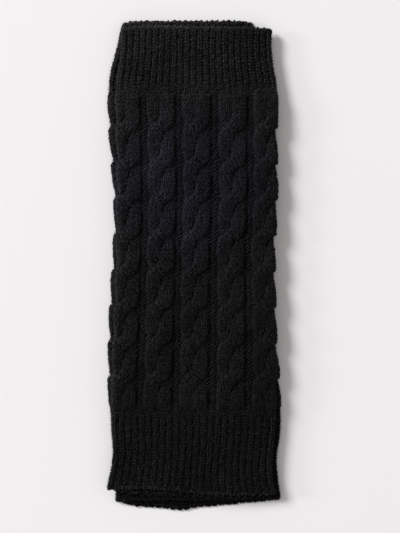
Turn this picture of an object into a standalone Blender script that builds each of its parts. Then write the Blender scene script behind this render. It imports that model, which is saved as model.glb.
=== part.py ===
"""Pair of footless cable-knit socks (leg warmers), laid flat one on the other.

Each leg warmer is a knitted tube pressed flat, open at both ends: a ribbed top
cuff, a leg with rope cables on a purl ground, and a longer ribbed bottom cuff.
The lower one lies on the ground plane (z = 0), a little turned, and the upper
one lies on its cables. +Y runs up the leg and +Z points away from the ground.

A place on a tube is given by two numbers: "turn", the way round it from the
middle of its front, counted in widths of the flattened tube, and y. The wall
is plain inside, and its outer face carries the cables and ribs.
"""

import math
from collections import namedtuple

import bmesh
import bpy

COLLECTION_NAME = "cable_knit_leg_warmers"
# From the tables' own zero to the middle of the ground that the pair covers
FOOTPRINT_SHIFT = (-0.00075, 0.00015, 0.0)

# Cloth, in metres
WALL = 0.0022             # plain knit under the cables and ribs
LAYER_GAP = 0.0006        # between the two layers of a tube that lies flat
STRETCH_GAP = 0.0003      # between a cuff and the leg

# Rope cables: two strands that cross, each time the left one over the right.
# Five show on a tube's front, the outer ones rounding the folds, of nine all round.
# Each cable: its turn, and the place along the leg of its lowest crossing
Cable = namedtuple("Cable", "turn first_crossing")
CABLES = (
    Cable(-0.4480, -0.0905),
    Cable(-0.2285, -0.0895),
    Cable(-0.0068, -0.0900),
    Cable(0.2242, -0.0908),
    Cable(0.4445, -0.0905),
)
STRAND_HALF_WIDTH = 0.0060
STRAND_REACH = 0.0053     # from the cable's middle to the middle of a strand
STRAND_HEIGHT = 0.0024
CROSSING_RISE = 0.0010    # the front strand over the one behind it
CROSSING_SHARPNESS = 1.6
CROSSING_PITCH = 0.02857
CROSSINGS = 8
CABLE_FADE = 0.0090       # length over which a cable sinks into the cuff

# Ribs of the cuffs
RIB_HEIGHT = 0.0011
RIB_TURN = 0.0423         # one rib and its furrow, in widths
RIBS_EACH_SIDE = 13
RIB_SHOULDERS = (0.0, 0.3, 0.7)
RIB_PROFILE = (0.0, 1.0, 1.0)
RIB_FADE = 0.0045         # length over which a rib rises from the end of the leg
JOIN_HEIGHT = 0.0006      # of the knit over the plain wall where leg and cuff meet

# Cosine of the wall's lean, round a fold, where relief ends and where it is whole
RELIEF_ENDS = -0.95
RELIEF_WHOLE = 0.75

# Where the leg starts and ends
LEG_LOW = -0.1190
LEG_HIGH = 0.1416

# How the upper tube hangs over the lower one's edge
DROOP_START = 0.0030
DROOP_RADIUS = 0.1000

# Each station: place along the leg, the two fold edges, the underside's height
# and how far the front layer stands up in the middle of an open mouth
Station = namedtuple("Station", "y left right under mouth")

UPPER_STATIONS = (
    Station(0.1930, -0.0568, 0.0632, 0.0066, 0.0006),
    Station(0.1760, -0.0571, 0.0623, 0.0065, 0.0),
    Station(0.1600, -0.0585, 0.0636, 0.0065, 0.0),
    Station(0.1480, -0.0604, 0.0658, 0.0070, 0.0),
    Station(0.1400, -0.0610, 0.0666, 0.0079, 0.0),
    Station(0.1300, -0.0606, 0.0665, 0.0087, 0.0),
    Station(0.1000, -0.0596, 0.0656, 0.0087, 0.0),
    Station(0.0600, -0.0590, 0.0662, 0.0087, 0.0),
    Station(0.0160, -0.0596, 0.0641, 0.0087, 0.0),
    Station(-0.0250, -0.0608, 0.0645, 0.0087, 0.0),
    Station(-0.0600, -0.0622, 0.0653, 0.0087, 0.0),
    Station(-0.0950, -0.0633, 0.0652, 0.0087, 0.0),
    Station(-0.1120, -0.0637, 0.0652, 0.0085, 0.0),
    Station(-0.1230, -0.0647, 0.0656, 0.0072, 0.0),
    Station(-0.1340, -0.0646, 0.0651, 0.0066, 0.0),
    Station(-0.1480, -0.0638, 0.0634, 0.0065, 0.0),
    Station(-0.1620, -0.0653, 0.0626, 0.0065, 0.0002),
    Station(-0.1730, -0.0676, 0.0637, 0.0067, 0.0008),
    Station(-0.1860, -0.0704, 0.0672, 0.0078, 0.0018),
)

LOWER_STATIONS = (
    Station(0.1970, -0.0560, 0.0470, 0.0, 0.0),
    Station(0.1740, -0.0612, 0.0530, 0.0, 0.0),
    Station(0.1500, -0.0670, 0.0580, 0.0, 0.0),
    Station(0.1180, -0.0669, 0.0610, 0.0, 0.0),
    Station(0.0800, -0.0642, 0.0612, 0.0, 0.0),
    Station(0.0480, -0.0622, 0.0615, 0.0, 0.0),
    Station(0.0160, -0.0627, 0.0625, 0.0, 0.0),
    Station(-0.0280, -0.0654, 0.0638, 0.0, 0.0),
    Station(-0.0600, -0.0667, 0.0657, 0.0, 0.0),
    Station(-0.0900, -0.0671, 0.0681, 0.0, 0.0),
    Station(-0.1100, -0.0665, 0.0694, 0.0, 0.0),
    Station(-0.1320, -0.0656, 0.0698, 0.0, 0.0),
    Station(-0.1460, -0.0644, 0.0679, 0.0, 0.0),
    Station(-0.1580, -0.0632, 0.0667, 0.0, 0.0),
    Station(-0.1720, -0.0624, 0.0679, 0.0, 0.0003),
    Station(-0.1960, -0.0620, 0.0714, 0.0, 0.0014),
)

# Each hem row: place across in half widths, and how far the front and the
# back layer reach along the leg there
Hem = namedtuple("Hem", "across front back")

UPPER_TOP_HEM = (
    Hem(-1.0, 0.1898, 0.1898),
    Hem(-0.7, 0.1914, 0.1908),
    Hem(0.0, 0.1908, 0.1902),
    Hem(0.7, 0.1902, 0.1896),
    Hem(1.0, 0.1892, 0.1892),
)
UPPER_BOTTOM_HEM = (
    Hem(-1.0, -0.1794, -0.1794),
    Hem(-0.6, -0.1788, -0.1836),
    Hem(-0.2, -0.1804, -0.1844),
    Hem(0.2, -0.1830, -0.1854),
    Hem(0.6, -0.1838, -0.1862),
    Hem(1.0, -0.1830, -0.1830),
)
LOWER_TOP_HEM = (
    Hem(-1.0, 0.1945, 0.1945),
    Hem(-0.8, 0.1960, 0.1955),
    Hem(0.8, 0.1962, 0.1957),
    Hem(1.0, 0.1948, 0.1948),
)
LOWER_BOTTOM_HEM = (
    Hem(-1.0, -0.1905, -0.1905),
    Hem(-0.8, -0.1892, -0.1936),
    Hem(-0.5, -0.1888, -0.1952),
    Hem(-0.2, -0.1888, -0.1968),
    Hem(0.0, -0.1888, -0.1948),
    Hem(0.3, -0.1888, -0.1932),
    Hem(0.6, -0.1886, -0.1912),
    Hem(0.85, -0.1884, -0.1896),
    Hem(1.0, -0.1882, -0.1882),
)

# Soft troughs across the front of the upper leg, as the knit puckers
Crease = namedtuple("Crease", "x_from y_from x_to y_to half_width depth")
UPPER_CREASES = (
    Crease(0.0460, 0.1420, 0.0420, 0.1080, 0.0060, 0.0009),
    Crease(-0.0600, 0.0060, -0.0420, 0.0140, 0.0070, 0.0006),
    Crease(0.0620, 0.0180, 0.0480, 0.0120, 0.0070, 0.0006),
)

Garment = namedtuple(
    "Garment",
    "name stations top_hem bottom_hem creases droops leg_rows strand_columns leg_under",
)

UPPER = Garment(
    name="upper",
    stations=UPPER_STATIONS,
    top_hem=UPPER_TOP_HEM,
    bottom_hem=UPPER_BOTTOM_HEM,
    creases=UPPER_CREASES,
    droops=True,
    leg_rows=72,
    strand_columns=(-0.0113, -0.0098, -0.0070, -0.0036, 0.0, 0.0036, 0.0070, 0.0098, 0.0113),
    leg_under=(0.58, 0.62, 0.68),
)
LOWER = Garment(
    name="lower",
    stations=LOWER_STATIONS,
    top_hem=LOWER_TOP_HEM,
    bottom_hem=LOWER_BOTTOM_HEM,
    creases=(),
    droops=False,
    leg_rows=54,
    strand_columns=(-0.0113, -0.0085, -0.0036, 0.0036, 0.0085, 0.0113),
    leg_under=(0.57,),
)

CUFF_ROWS = (0.0, 0.08, 0.28, 0.52, 0.76, 1.0)  # shares of a cuff's length, from the leg
MEAN_WIDTH = 0.1280       # changes metres across a cable into turns
# Turns at which a cuff's underside and the plain inner face have their corners
CUFF_UNDER = (0.58, 0.62, 0.70, 0.85, 1.0, 1.15, 1.30, 1.40)
INNER_TURNS = (-0.545, -0.51, -0.48, -0.30, -0.15, 0.0, 0.15, 0.30, 0.48, 0.51, 0.545) + (
    0.70, 0.85, 1.0, 1.15, 1.30,
)
WHOLE_TURN = 2.02
INNER_ROW_LENGTH = 0.0160

KNIT_COLOUR = (0.0115, 0.0112, 0.0130, 1.0)
KNIT_ROUGHNESS = 0.95
SHARP_EDGE = math.radians(50.0)


def smoothstep(low, high, value):
    """Rise from 0 at low to 1 at high, level at both ends."""
    share = min(max((value - low) / (high - low), 0.0), 1.0)
    return share * share * (3.0 - 2.0 * share)


def read_rows(rows, key, column, value):
    """A smooth curve through one column of a table, at a value of its key."""
    ordered = sorted(rows, key=lambda row: getattr(row, key))
    keys = [getattr(row, key) for row in ordered]
    values = [getattr(row, column) for row in ordered]
    value = min(max(value, keys[0]), keys[-1])
    last = len(keys) - 1
    start = max(index for index in range(last) if keys[index] <= value)
    span = keys[start + 1] - keys[start]
    slopes = []
    for index in (start, start + 1):
        before, after = max(index - 1, 0), min(index + 1, last)
        slopes.append((values[after] - values[before]) / (keys[after] - keys[before]) * span)
    t = (value - keys[start]) / span
    rise = t * t * (3.0 - 2.0 * t)
    leave = t * (1.0 - t) * (1.0 - t)
    arrive = t * t * (t - 1.0)
    return values[start] * (1.0 - rise) + values[start + 1] * rise + slopes[0] * leave + slopes[1] * arrive


def station(garment, y):
    """The section of a tube at a place along it."""
    columns = ("left", "right", "under", "mouth")
    return Station(y, *(read_rows(garment.stations, "y", column, y) for column in columns))


def droop(garment, x, y):
    """How far the cloth sinks where nothing carries it from below."""
    if not garment.droops:
        return 0.0
    overhang = max(x - station(LOWER, y).right + DROOP_START, 0.0)
    return overhang * overhang / (2.0 * DROOP_RADIUS)


def wall_point(garment, turn, y, height):
    """A point at a height over the plain outer wall; negative heights are inside it."""
    section = station(garment, y)
    width = section.right - section.left
    radius = WALL + LAYER_GAP / 2.0
    straight = width / 2.0 - radius
    side = math.copysign(1.0, turn)
    along = abs(turn) * width
    angle = min(max((along - straight) / radius, 0.0), math.pi)
    across = min(along, straight) - max(along - straight - math.pi * radius, 0.0)
    reach = radius + height
    x = (section.left + section.right) / 2.0 + side * (across + reach * math.sin(angle))
    front_share = (1.0 + math.cos(angle)) / 2.0
    spread = max(1.0 - (2.0 * across / width) ** 2, 0.0)
    z = section.under + radius + reach * math.cos(angle) + section.mouth * spread * front_share
    return (x, y, z - droop(garment, x, y))


def relief_share(garment, turn, y):
    """Cables and ribs fade out round the fold, towards the flat underside."""
    section = station(garment, y)
    width = section.right - section.left
    radius = WALL + LAYER_GAP / 2.0
    angle = min(max((abs(turn) * width - width / 2.0 + radius) / radius, 0.0), math.pi)
    return smoothstep(RELIEF_ENDS, RELIEF_WHOLE, math.cos(angle))


def from_join(height, fade, y):
    """A height that grows from the common one where leg and cuff meet."""
    share = smoothstep(0.0, fade, min(abs(y - LEG_LOW), abs(y - LEG_HIGH)))
    return JOIN_HEIGHT + (height - JOIN_HEIGHT) * share


def strand(across, centre, slope, rise):
    """Height of one rounded strand of a cable."""
    distance = (across - centre) / (STRAND_HALF_WIDTH * math.hypot(1.0, slope))
    if abs(distance) >= 1.0:
        return 0.0
    return max(STRAND_HEIGHT * math.sqrt(1.0 - distance * distance) + rise, 0.0)


def cable_height(garment, turn, y):
    """Height of the nearest rope cable over the purl ground."""
    section = station(garment, y)
    nearest = min(CABLES, key=lambda cable: abs(turn - cable.turn))
    across = (turn - nearest.turn) * (section.right - section.left)
    crossing = (y - nearest.first_crossing) / CROSSING_PITCH
    crossing = min(max(crossing, -0.5), CROSSINGS - 0.5)
    swing = CROSSING_SHARPNESS * math.sin(math.pi * crossing)
    centre = STRAND_REACH * math.tanh(swing) / math.tanh(CROSSING_SHARPNESS)
    slope = (
        STRAND_REACH * math.pi / CROSSING_PITCH * CROSSING_SHARPNESS * math.cos(math.pi * crossing)
        / (math.cosh(swing) ** 2 * math.tanh(CROSSING_SHARPNESS))
    )
    rise = CROSSING_RISE * math.cos(math.pi * crossing)
    height = max(strand(across, centre, slope, rise), strand(across, -centre, -slope, -rise))
    return from_join(height, CABLE_FADE, y)


def crease_depth(garment, x, y):
    """Depth of the soft troughs at a point of the front."""
    depth = 0.0
    for crease in garment.creases:
        run_x, run_y = crease.x_to - crease.x_from, crease.y_to - crease.y_from
        share = ((x - crease.x_from) * run_x + (y - crease.y_from) * run_y) / (run_x ** 2 + run_y ** 2)
        share = min(max(share, 0.0), 1.0)
        away = math.hypot(x - crease.x_from - share * run_x, y - crease.y_from - share * run_y)
        depth += crease.depth * (1.0 - smoothstep(0.0, crease.half_width, away))
    return depth


def hem_reach(hem, garment, turn, y):
    """How far a cuff reaches along the leg at a turn, on its front or its back."""
    x = wall_point(garment, turn, y, 0.0)[0]
    section = station(garment, y)
    across = (2.0 * x - section.left - section.right) / (section.right - section.left)
    column = "front" if abs(turn) < 0.5 else "back"
    return read_rows(hem, "across", column, across)


def ring(garment, turns, places, heights):
    """Points round the tube."""
    return [wall_point(garment, *spot) for spot in zip(turns, places, heights)]


def add_wall(work, rings, outward):
    """Faces between rings that follow each other up the tube; returns the end loops."""
    loops = [[work.verts.new(point) for point in points] for points in rings]
    for low, high in zip(loops, loops[1:]):
        for column in range(len(low)):
            after = (column + 1) % len(low)
            corners = [low[column], low[after], high[after], high[column]]
            work.faces.new(corners if outward else corners[::-1])
    return loops[0], loops[-1]


def close_end(work, outer, outer_turns, inner, inner_turns, lower_end):
    """The knitted edge: triangles between the outer and the inner end loop."""
    outer_ahead = list(outer_turns[1:]) + [outer_turns[0] + WHOLE_TURN]
    inner_ahead = list(inner_turns[1:]) + [inner_turns[0] + WHOLE_TURN]
    at_outer = at_inner = 0
    while at_outer < len(outer) or at_inner < len(inner):
        outer_here = outer[at_outer % len(outer)]
        inner_here = inner[at_inner % len(inner)]
        inner_done = at_inner == len(inner)
        if inner_done or (at_outer < len(outer) and outer_ahead[at_outer] <= inner_ahead[at_inner]):
            at_outer += 1
            corners = [outer_here, inner_here, outer[at_outer % len(outer)]]
        else:
            at_inner += 1
            corners = [outer_here, inner_here, inner[at_inner % len(inner)]]
        work.faces.new(corners if lower_end else corners[::-1])


def knit_material(name):
    """Black brushed wool knit: matt, a little cool."""
    material = bpy.data.materials.new(name + "_knit")
    material.use_nodes = True
    shader = material.node_tree.nodes["Principled BSDF"]
    shader.inputs["Base Color"].default_value = KNIT_COLOUR
    shader.inputs["Roughness"].default_value = KNIT_ROUGHNESS
    shader.inputs["Metallic"].default_value = 0.0
    return material


def add_tube(name, collection, middle, turns, outer_rings, inner_rings):
    """One closed solid: outer face, plain inner face and the two knitted edges."""
    work = bmesh.new()
    outer_low, outer_high = add_wall(work, outer_rings, outward=True)
    inner_low, inner_high = add_wall(work, inner_rings, outward=False)
    close_end(work, outer_low, turns, inner_low, INNER_TURNS, lower_end=True)
    close_end(work, outer_high, turns, inner_high, INNER_TURNS, lower_end=False)
    mesh = bpy.data.meshes.new(name)
    work.to_mesh(mesh)
    work.free()
    mesh.shade_smooth()
    mesh.set_sharp_from_angle(angle=SHARP_EDGE)
    mesh.materials.append(knit_material(name))
    part = bpy.data.objects.new(name, mesh)
    part.parent = middle
    collection.objects.link(part)


def add_leg(garment, collection, middle):
    """The stretch with the rope cables."""
    low, high = LEG_LOW + STRETCH_GAP / 2.0, LEG_HIGH - STRETCH_GAP / 2.0
    turns = [cable.turn + across / MEAN_WIDTH for cable in CABLES for across in garment.strand_columns]
    turns.extend(garment.leg_under)
    outer_rings = []
    for row in range(garment.leg_rows + 1):
        y = low + (high - low) * row / garment.leg_rows
        heights = []
        for turn in turns:
            trough = crease_depth(garment, wall_point(garment, turn, y, 0.0)[0], y)
            heights.append((cable_height(garment, turn, y) - trough) * relief_share(garment, turn, y))
        outer_rings.append(ring(garment, turns, [y] * len(turns), heights))
    inner_rows = round((high - low) / INNER_ROW_LENGTH)
    inner_rings = []
    for row in range(inner_rows + 1):
        y = low + (high - low) * row / inner_rows
        inner_rings.append(ring(garment, INNER_TURNS, [y] * len(INNER_TURNS), [-WALL] * len(INNER_TURNS)))
    add_tube(garment.name + "_cable_leg", collection, middle, turns, outer_rings, inner_rings)


def add_cuff(garment, collection, middle, name, start, hem):
    """A ribbed stretch, from the leg to its open hem."""
    ribs = range(-RIBS_EACH_SIDE, RIBS_EACH_SIDE)
    turns = [(rib + shoulder) * RIB_TURN for rib in ribs for shoulder in RIB_SHOULDERS]
    turns.extend(CUFF_UNDER)
    profile = [height for _ in ribs for height in RIB_PROFILE]
    profile.extend(0.0 for _ in CUFF_UNDER)
    upwards = hem[0].front > start
    outer_rings, inner_rings = [], []
    for share in CUFF_ROWS if upwards else CUFF_ROWS[::-1]:
        for around, heights, rings in (
            (turns, profile, outer_rings),
            (INNER_TURNS, None, inner_rings),
        ):
            reaches = [hem_reach(hem, garment, turn, hem[0].front) for turn in around]
            places = [start + share * (reach - start) for reach in reaches]
            if heights is None:
                raised = [-WALL] * len(around)
            else:
                raised = [
                    from_join(RIB_HEIGHT * height, RIB_FADE, y) * relief_share(garment, turn, y)
                    for height, turn, y in zip(heights, around, places)
                ]
            rings.append(ring(garment, around, places, raised))
    add_tube(garment.name + name, collection, middle, turns, outer_rings, inner_rings)


def build():
    """Both leg warmers, in one collection."""
    for old in list(bpy.data.objects):
        bpy.data.objects.remove(old, do_unlink=True)
    collection = bpy.data.collections.new(COLLECTION_NAME)
    bpy.context.scene.collection.children.link(collection)
    middle = bpy.data.objects.new("footprint_middle", None)
    middle.location = FOOTPRINT_SHIFT
    collection.objects.link(middle)
    for garment in (UPPER, LOWER):
        add_cuff(garment, collection, middle, "_top_cuff", LEG_HIGH + STRETCH_GAP / 2.0, garment.top_hem)
        add_leg(garment, collection, middle)
        add_cuff(garment, collection, middle, "_bottom_cuff", LEG_LOW - STRETCH_GAP / 2.0, garment.bottom_hem)


build()
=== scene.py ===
"""Looks of a pair of footless cable-knit socks (leg warmers), laid flat one on the other.

Each leg warmer is a knitted tube pressed flat: two ribbed cuffs and a leg with rope
cables on a purl ground. A place on a tube is given by "turn", the way round it from
the middle of its front in widths of the flattened tube, and by y along the leg. Each
stretch has a closed knitted wall, and on it lie its stitches, every one a pair of
yarn arms, its purl bars, the bound-off chain of its edge and the nap of loose wool.
"""

import math
from collections import namedtuple
from functools import partial

import bmesh
import bpy
import numpy as np
from bpy.props import FloatProperty, FloatVectorProperty, IntProperty, PointerProperty
from mathutils import Matrix, Vector


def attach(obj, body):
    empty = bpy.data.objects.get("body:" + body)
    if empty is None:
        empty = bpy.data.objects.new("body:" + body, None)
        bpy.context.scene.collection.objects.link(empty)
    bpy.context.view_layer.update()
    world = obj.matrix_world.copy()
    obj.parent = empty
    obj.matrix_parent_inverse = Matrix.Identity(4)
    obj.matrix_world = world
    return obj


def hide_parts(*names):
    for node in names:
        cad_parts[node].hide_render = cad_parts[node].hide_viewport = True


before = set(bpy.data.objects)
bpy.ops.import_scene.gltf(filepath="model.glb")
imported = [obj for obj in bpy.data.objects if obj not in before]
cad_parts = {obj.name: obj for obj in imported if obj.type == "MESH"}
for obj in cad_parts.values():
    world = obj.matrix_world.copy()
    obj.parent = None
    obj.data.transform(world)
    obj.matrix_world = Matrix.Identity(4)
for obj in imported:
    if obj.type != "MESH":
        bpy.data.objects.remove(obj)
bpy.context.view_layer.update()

bl_info = {
    "name": "Cable Knit Leg Warmers",
    "version": (1, 0, 0),
    "blender": (4, 5, 0),
    "location": "View3D > Sidebar > Leg Warmers",
    "description": "A pair of cable-knit leg warmers, laid flat, with every stitch modelled",
    "category": "Add Mesh",
}

# The solids' own sizes, in metres
FOOTPRINT_SHIFT = np.array((-0.00075, 0.00015, 0.0))
WALL = 0.0022
LAYER_GAP = 0.0006
MEAN_WIDTH = 0.1280
FOLD_RADIUS = WALL + LAYER_GAP / 2.0
WHOLE_TURN = 2.0 + 2.0 * (math.pi - 2.0) * FOLD_RADIUS / MEAN_WIDTH

# Rope cables: two strands that cross, each time the left one over the right. Each
# cable: its turn, and the place along the leg of its lowest crossing
Cable = namedtuple("Cable", "turn first_crossing")
CABLES = (
    Cable(-0.4480, -0.0905),
    Cable(-0.2285, -0.0895),
    Cable(-0.0068, -0.0900),
    Cable(0.2242, -0.0908),
    Cable(0.4445, -0.0905),
)
STRAND_HALF_WIDTH = 0.0060
STRAND_REACH = 0.0053
STRAND_HEIGHT = 0.0024
CROSSING_RISE = 0.0010
CROSSING_SHARPNESS = 1.6
CROSSING_PITCH = 0.02857
CROSSINGS = 8
CABLE_FADE = 0.0090
WALES_IN_STRAND = 4
WALES_ROUND_FOLD = 6       # in a strand that rounds a fold
FOLD_CABLE = 0.4           # past this turn a cable rounds the fold
DRESSED_SHARE = 0.97       # of a strand's width that stitches cover

# Ribs of the cuffs
RIB_HEIGHT = 0.0011
RIB_TURN = 0.0423
RIB_SHOULDERS = (0.0, 0.3, 0.7, 1.0)
RIB_PROFILE = (0.0, 1.0, 1.0, 0.0)
RIBS_EACH_SIDE = 13
RIB_FADE = 0.0045
JOIN_HEIGHT = 0.0006

# Cosine of the wall's lean, round a fold, where relief ends and where it is whole
RELIEF_ENDS = -0.95
RELIEF_WHOLE = 0.75

LEG_LOW = -0.1190
LEG_HIGH = 0.1416
DROOP_START = 0.0030
DROOP_RADIUS = 0.1000

# Each station: place along the leg, the two fold edges, the underside's height (0 on the
# floor) and how far the front layer stands up in the middle of an open mouth
Station = namedtuple("Station", "y left right under mouth")
UPPER_STATIONS = (
    Station(0.1930, -0.0568, 0.0632, 0.0066, 0.0006),
    Station(0.1760, -0.0571, 0.0623, 0.0065, 0.0),
    Station(0.1600, -0.0585, 0.0636, 0.0065, 0.0),
    Station(0.1480, -0.0604, 0.0658, 0.0070, 0.0),
    Station(0.1400, -0.0610, 0.0666, 0.0079, 0.0),
    Station(0.1300, -0.0606, 0.0665, 0.0087, 0.0),
    Station(0.1000, -0.0596, 0.0656, 0.0087, 0.0),
    Station(0.0600, -0.0590, 0.0662, 0.0087, 0.0),
    Station(0.0160, -0.0596, 0.0641, 0.0087, 0.0),
    Station(-0.0250, -0.0608, 0.0645, 0.0087, 0.0),
    Station(-0.0600, -0.0622, 0.0653, 0.0087, 0.0),
    Station(-0.0950, -0.0633, 0.0652, 0.0087, 0.0),
    Station(-0.1120, -0.0637, 0.0652, 0.0085, 0.0),
    Station(-0.1230, -0.0647, 0.0656, 0.0072, 0.0),
    Station(-0.1340, -0.0646, 0.0651, 0.0066, 0.0),
    Station(-0.1480, -0.0638, 0.0634, 0.0065, 0.0),
    Station(-0.1620, -0.0653, 0.0626, 0.0065, 0.0002),
    Station(-0.1730, -0.0676, 0.0637, 0.0067, 0.0008),
    Station(-0.1860, -0.0704, 0.0672, 0.0078, 0.0018),
)
LOWER_STATIONS = (
    Station(0.1970, -0.0560, 0.0470, 0.0, 0.0),
    Station(0.1740, -0.0612, 0.0530, 0.0, 0.0),
    Station(0.1500, -0.0670, 0.0580, 0.0, 0.0),
    Station(0.1180, -0.0669, 0.0610, 0.0, 0.0),
    Station(0.0800, -0.0642, 0.0612, 0.0, 0.0),
    Station(0.0480, -0.0622, 0.0615, 0.0, 0.0),
    Station(0.0160, -0.0627, 0.0625, 0.0, 0.0),
    Station(-0.0280, -0.0654, 0.0638, 0.0, 0.0),
    Station(-0.0600, -0.0667, 0.0657, 0.0, 0.0),
    Station(-0.0900, -0.0671, 0.0681, 0.0, 0.0),
    Station(-0.1100, -0.0665, 0.0694, 0.0, 0.0),
    Station(-0.1320, -0.0656, 0.0698, 0.0, 0.0),
    Station(-0.1460, -0.0644, 0.0679, 0.0, 0.0),
    Station(-0.1580, -0.0632, 0.0667, 0.0, 0.0),
    Station(-0.1720, -0.0624, 0.0679, 0.0, 0.0003),
    Station(-0.1960, -0.0620, 0.0714, 0.0, 0.0014),
)

# Each hem row: place across in half widths, and how far the front and the
# back layer reach along the leg there
Hem = namedtuple("Hem", "across front back")
UPPER_TOP_HEM = (
    Hem(-1.0, 0.1898, 0.1898),
    Hem(-0.7, 0.1914, 0.1908),
    Hem(0.0, 0.1908, 0.1902),
    Hem(0.7, 0.1902, 0.1896),
    Hem(1.0, 0.1892, 0.1892),
)
UPPER_BOTTOM_HEM = (
    Hem(-1.0, -0.1794, -0.1794),
    Hem(-0.6, -0.1788, -0.1836),
    Hem(-0.2, -0.1804, -0.1844),
    Hem(0.2, -0.1830, -0.1854),
    Hem(0.6, -0.1838, -0.1862),
    Hem(1.0, -0.1830, -0.1830),
)
LOWER_TOP_HEM = (
    Hem(-1.0, 0.1945, 0.1945),
    Hem(-0.8, 0.1960, 0.1955),
    Hem(0.8, 0.1962, 0.1957),
    Hem(1.0, 0.1948, 0.1948),
)
LOWER_BOTTOM_HEM = (
    Hem(-1.0, -0.1905, -0.1905),
    Hem(-0.8, -0.1892, -0.1936),
    Hem(-0.5, -0.1888, -0.1952),
    Hem(-0.2, -0.1888, -0.1968),
    Hem(0.0, -0.1888, -0.1948),
    Hem(0.3, -0.1888, -0.1932),
    Hem(0.6, -0.1886, -0.1912),
    Hem(0.85, -0.1884, -0.1896),
    Hem(1.0, -0.1882, -0.1882),
)

# Soft troughs across the front of the upper leg, as the knit puckers
Crease = namedtuple("Crease", "x_from y_from x_to y_to half_width depth")
UPPER_CREASES = (
    Crease(0.0460, 0.1420, 0.0420, 0.1080, 0.0060, 0.0009),
    Crease(-0.0600, 0.0060, -0.0420, 0.0140, 0.0070, 0.0006),
    Crease(0.0620, 0.0180, 0.0480, 0.0120, 0.0070, 0.0006),
)

Garment = namedtuple("Garment", "name stations top_hem bottom_hem creases covered")
UPPER = Garment("upper", UPPER_STATIONS, UPPER_TOP_HEM, UPPER_BOTTOM_HEM, UPPER_CREASES, False)
LOWER = Garment("lower", LOWER_STATIONS, LOWER_TOP_HEM, LOWER_BOTTOM_HEM, (), True)
GARMENTS = (UPPER, LOWER)

# Each stretch of a tube: its node's name, its slot, where it starts, its hem or none, and
# 1 where it runs up the leg from its start or -1 where it runs down
Stretch = namedtuple("Stretch", "name slot start hem way")

# The walls' grid: columns round a wall and rings along it, for a tube that shows (False)
# and for a covered one (True)
FRONT_TURN = 0.56          # the front and both folds
FRONT_COLUMNS = {False: 150, True: 110}
BACK_COLUMNS = 40
LEG_RINGS = {False: 176, True: 110}
CUFF_RINGS = 40
INNER_LEG_RINGS = 24
INNER_CUFF_RINGS = 12
COVER_DEPTH = 0.0100       # how far under the upper tube's edge the lower one is still made in full
CUFF_SINK = 0.7            # of the leg's sink, behind the finer stitches of a cuff

# Places of the stitches
STEP = 0.0002              # over which a direction on the knit is measured
RIM_STEP = 0.004           # the same along a rim, in turns
SAMPLES = 33               # across a strand, to space its wales evenly
VALLEY = -0.0002           # how far a strand behind is knitted on under the front one's flank
CROSSING_TUCK = 0.0005     # how much deeper than in the solid the strand behind is pulled
JOIN_RAGGED = 1.6          # rows by which the cables' wales end unevenly
GROUND_DEPTH = 0.0003      # of the purl bars' tops under the solid's plain ground
PURL_PLACES = (-0.0040, 0.0013, 0.0058)   # of the bars' columns, from the middle between two cables
PURL_CLEAR = 0.0006        # height of a cable's flank under which a bar still shows
RIB_OVERLAP = 3            # rows by which a rib runs on under the cables
FURROW_HEIGHT = 0.0003     # of the purl bumps between the ribs
INNER_HEIGHT = 0.0003      # of the ribs over the wall's inner face
INNER_OVERLAP = 3          # rows by which they run on behind the front layer
INNER_LEAST = 2            # rows at least
BACK_RIBS = 22             # round the back layer
EDGE_OUT = -0.0007         # how far the bound-off chain's middle stands out from the rim
EDGE_LIFT = 0.0012         # how far it lies over the wall's middle
EDGE_TUCK = 0.0010         # how far the wall ends behind the chain
EDGE_SIZE = (1.1, 0.80, 1.2)
PURL_THICKNESS = 0.42      # of a purl bar, in wales
RIB_FULLNESS = 1.25        # of the yarn in a rib's stitches
RIB_BREADTH = 1.45         # of a rib's stitches, in wales
RIB_BUMP = (0.85, 0.0, 0.65)              # of the purl bumps: length, slant and thickness, in wales
CUFF_SEED = 5
CUFF_LUMPS = 1.6           # how much more uneven a cuff's stitches are than the leg's
EDGE_LUMPS = 2.0           # and the bound-off chain's
REST_HEIGHT = 0.0002       # of the lowest wool over the floor
PLANNED = ("along", "outward", "size")    # what the plan of the stitches says of each

# The nap, whose loose fibres are painted pale as painted sheen: its share between the cables, on a cuff, and
# how much denser it is round the folds, where it paints their rims paler
GROUND_NAP = 0.25
CUFF_NAP = 0.6
FOLD_NAP = 4.0

# The wool's colour
TUFT_SHADES = (0.26, 2.14)             # darkest and lightest tufts, as shares of the yarn's colour
PATCH_SHARE = 0.22                     # of the soft patches beside the tufts
BLOOM_ALONG = (-3.2, 1.8, 0.0)         # painted light: how much paler the yarn is painted towards the upper left along the table, for each metre
BLOOM_FACING = (-0.50, 0.2, 0.0)       # and with the way a face turns towards the upper left, where the lamps stand
BLOOM_MEAN = 0.22                      # on a level face in the middle
TINGE_AT = (0.004, 0.060, 0.014)       # the middle of the violet tinge
TINGE_WHOLE = 0.025                    # how far from there it is whole
TINGE_ENDS = 0.085                     # and where it ends
WOOL_SHADES = {
    "brushed_black_wool": 0.78,
    "unbrushed_black_wool": 0.78,
    "cuff_black_wool": 0.66,
    # painted shadow: the lower tube's bottom cuff, where the upper tube shades it
    "shaded_black_wool": 0.42,
    # painted shade: the inside of a tube's mouth
    "inner_black_wool": 0.16,
    # painted highlight: the light line along a bound-off edge
    "edge_black_wool": 1.00,
    # painted shade: the wall shows in the gaps between the stitches
    "black_wool_wall": 0.40,
    # painted sheen: loose fibres painted pale, as if they catch the light
    "loose_black_wool": 3.40,
    "grey_lint": 14.0,
}


def srgb(colour):
    """Linear light of an sRGB hex colour such as 1c1b1f."""
    parts = [int(colour[i:i + 2], 16) / 255.0 for i in (0, 2, 4)]
    return [p / 12.92 if p <= 0.04045 else ((p + 0.055) / 1.055) ** 2.4 for p in parts]


# Sizes and colours that a user would change

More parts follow.
